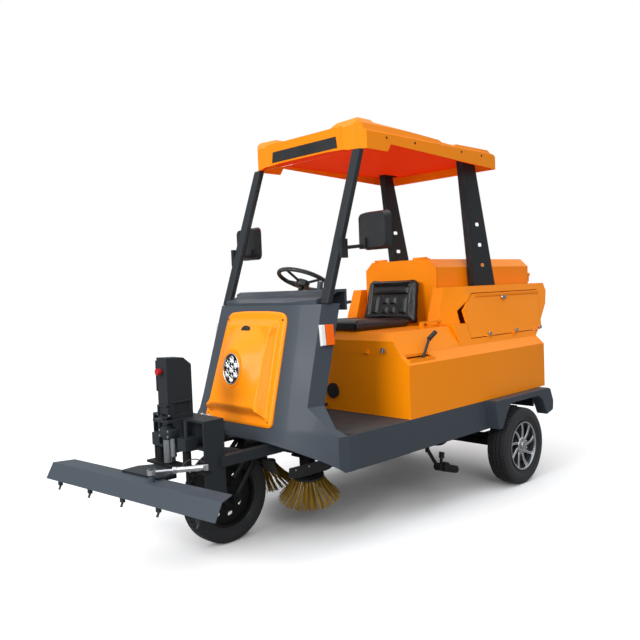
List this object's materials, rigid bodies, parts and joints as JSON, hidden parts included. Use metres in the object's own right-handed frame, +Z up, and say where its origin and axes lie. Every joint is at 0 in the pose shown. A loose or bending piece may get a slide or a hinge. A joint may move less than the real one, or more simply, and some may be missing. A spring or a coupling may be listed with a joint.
{
  "type": "compact road sweeper",
  "caption": "Compact three-wheeled electric road sweeper with open cab, canopy, side brushes below and a lifting, swinging spray bar in front.",
  "frame": {"origin": "on the ground below the middle of the whole length and width", "axes": "+X to the machine's left, +Y to its rear, +Z up"},
  "size_m": [1.455, 3.594, 2.355],
  "materials": {
    "orange_paint": "smooth gloss",
    "slate_paint": "smooth satin",
    "black_steel": "powder coat",
    "black_plastic": "fine grain",
    "black_vinyl": "grained, semi gloss",
    "tyre": "matt",
    "alloy": "machined face",
    "glass": "clear",
    "lamp_glass": "clear over a bright reflector",
    "white_lens": "translucent",
    "amber_lens": "translucent",
    "red_plastic": "gloss",
    "bare_steel": "zinc plated",
    "bristle": "bundled strands"
  },
  "bodies": {
    "chassis": {"battery_pack": "black_plastic", "brush_drives": "black_steel", "bulkhead": "orange_paint", "charge_port": "black_plastic", "chassis_frame": "black_steel", "control_box": "slate_paint", "dashboard": "slate_paint", "floor_pan": "slate_paint", "foot_pedals": "black_plastic", "front_cowl": "slate_paint", "front_panel": "orange_paint", "hand_brake": "black_plastic", "headlamp": "lamp_glass", "lift_cylinder": "alloy", "lower_body": "orange_paint", "mast": "slate_paint", "mirror_left": "black_plastic", "mirror_right": "black_plastic", "rear_axle": "black_steel", "rear_bumper": "slate_paint", "rear_posts": "slate_paint", "roof": "orange_paint", "roof_sign": "black_plastic", "side_markers": "white_lens", "side_panel_left": "orange_paint", "side_panel_right": "orange_paint", "skirt_left": "slate_paint", "skirt_right": "slate_paint", "spray_lances": "black_steel", "stop_knob": "red_plastic", "tail_lamps": "red_plastic", "tail_panel": "orange_paint", "tow_tongue": "slate_paint", "turn_lamps": "amber_lens", "windscreen": "glass", "windscreen_pillars": "slate_paint"},
    "fork": {"front_fork": "black_steel"},
    "steering": {"steering_wheel": "black_plastic"},
    "front_wheel": {"tyre_front": "tyre", "rim_front": "black_steel"},
    "rear_wheel_left": {"tyre_rear_left": "tyre", "rim_rear_left": "alloy"},
    "rear_wheel_right": {"tyre_rear_right": "tyre", "rim_rear_right": "alloy"},
    "carriage": {"lift_carriage": "black_steel"},
    "bar": {"swivel_plate": "slate_paint", "spray_bar": "slate_paint", "spray_nozzles": "black_plastic"},
    "actuator_barrel": {"swing_barrel": "alloy"},
    "actuator_rod": {"swing_rod": "bare_steel"},
    "brush_left": {"side_brush_left": "bristle"},
    "brush_right": {"side_brush_right": "bristle"},
    "door_left": {"side_door_left": "orange_paint"},
    "door_right": {"side_door_right": "orange_paint"},
    "lid": {"seat_lid": "orange_paint", "seat_cushion": "black_vinyl", "seat_backrest": "black_vinyl"},
    "hood": {"hood": "orange_paint"}
  },
  "joints": [
    {"name": "steer", "type": "hinge", "parent": "chassis", "child": "fork", "pos_m": [0, -0.78747, 0.62079], "axis": [0, 0.4226, 0.9063], "range_deg": [-30, 30]},
    {"name": "steering_wheel_turn", "type": "hinge", "parent": "chassis", "child": "steering", "pos_m": [0, -0.405, 1.441], "axis": [0, 0.4226, 0.9063], "range_deg": [-151, 151]},
    {"name": "front_wheel_roll", "type": "hinge", "parent": "fork", "child": "front_wheel", "pos_m": [0, -1.067, 0.26], "axis": [1, 0, 0], "continuous": true},
    {"name": "rear_wheel_left_roll", "type": "hinge", "parent": "chassis", "child": "rear_wheel_left", "pos_m": [0.655, 0.917, 0.26], "axis": [1, 0, 0], "continuous": true},
    {"name": "rear_wheel_right_roll", "type": "hinge", "parent": "chassis", "child": "rear_wheel_right", "pos_m": [-0.655, 0.917, 0.26], "axis": [1, 0, 0], "continuous": true},
    {"name": "bar_lift", "type": "slide", "parent": "chassis", "child": "carriage", "axis": [0, 0, 1], "range_m": [-0.16, 0]},
    {"name": "bar_swing", "type": "hinge", "parent": "carriage", "child": "bar", "pos_m": [0, -1.42419, 0.49], "axis": [0, 0, 1], "range_deg": [-14, 14]},
    {"name": "actuator_turn", "type": "hinge", "parent": "carriage", "child": "actuator_barrel", "pos_m": [0.3, -1.398, 0.531], "axis": [0, 0, 1], "range_deg": [-5.2, 5.2]},
    {"name": "actuator_stroke", "type": "slide", "parent": "actuator_barrel", "child": "actuator_rod", "axis": [-0.5276, -0.8495, 0], "range_m": [-0.0627, 0.0627]},
    {"name": "brush_left_spin", "type": "hinge", "parent": "chassis", "child": "brush_left", "pos_m": [0.212, -0.631, 0.312], "axis": [0.0988, -0.1186, 0.988], "continuous": true},
    {"name": "brush_right_spin", "type": "hinge", "parent": "chassis", "child": "brush_right", "pos_m": [-0.212, -0.631, 0.312], "axis": [-0.0988, -0.1186, 0.988], "continuous": true},
    {"name": "door_left_open", "type": "hinge", "parent": "chassis", "child": "door_left", "pos_m": [0.57852, 0.917, 1.024], "axis": [0, 1, 0], "range_deg": [0, 100]},
    {"name": "door_right_open", "type": "hinge", "parent": "chassis", "child": "door_right", "pos_m": [-0.57852, 0.917, 1.024], "axis": [0, -1, 0], "range_deg": [0, 100]},
    {"name": "seat_lid_open", "type": "hinge", "parent": "chassis", "child": "lid", "pos_m": [0, -0.2256, 0.9873], "axis": [1, 0, 0], "range_deg": [0, 55]},
    {"name": "hood_open", "type": "hinge", "parent": "chassis", "child": "hood", "pos_m": [0, 0.54, 1.565], "axis": [1, 0, 0], "range_deg": [0, 45]}
  ],
  "couplings": [
    {"joint": "steering_wheel_turn", "follows": "steer", "ratio": 5},
    {"joint": "actuator_turn", "follows": "bar_swing", "ratio": 0.2966},
    {"joint": "actuator_stroke", "follows": "bar_swing", "m_per_rad": -0.24016}
  ]
}
